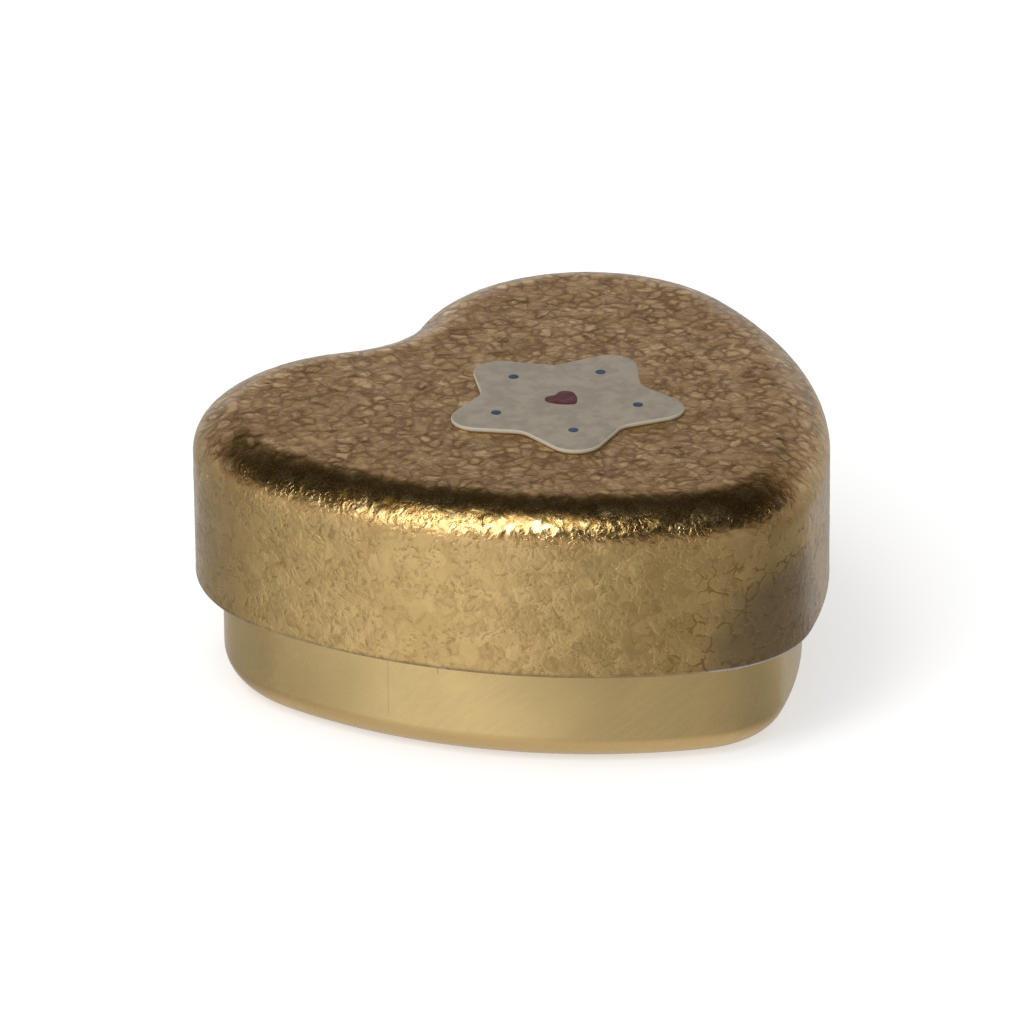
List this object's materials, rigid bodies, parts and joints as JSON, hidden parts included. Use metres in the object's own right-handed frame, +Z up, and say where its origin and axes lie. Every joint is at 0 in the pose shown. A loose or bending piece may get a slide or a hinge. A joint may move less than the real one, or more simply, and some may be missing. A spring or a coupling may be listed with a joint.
{
  "type": "heart-shaped keepsake tin",
  "caption": "Small heart-shaped slip-lid tin for milk teeth: a drawn tray with a rolled rim, and a deep lift-off lid with a raised star emblem.",
  "frame": {"origin": "centre of the closed tin's bounding box in plan, on the surface that it stands on", "axes": "+X across the heart's two lobes, +Y towards the notch between them, -Y towards the tip, +Z up through the lid"},
  "size_m": [0.0542, 0.0506, 0.024],
  "materials": {
    "smooth_gold": "gold lacquer over bright tinplate, faintly brushed, satin",
    "crackle_gold": "gold crackle lacquer over tinplate, cells about 1 mm across, semi-gloss",
    "pale_enamel": "pale stone-coloured enamel ink, matt",
    "blue_paint": "dull blue ink, matt",
    "red_paint": "dark red ink, matt"
  },
  "bodies": {
    "base": {"base_tray": "smooth_gold"},
    "lid": {"lid_shell": "crackle_gold", "emblem_enamel": "pale_enamel", "emblem_dots": "blue_paint", "emblem_heart": "red_paint"}
  },
  "joints": [
    {"name": "lid_lift", "type": "slide", "parent": "base", "child": "lid", "axis": [0, 0, 1], "range_m": [0, 0.03]}
  ]
}
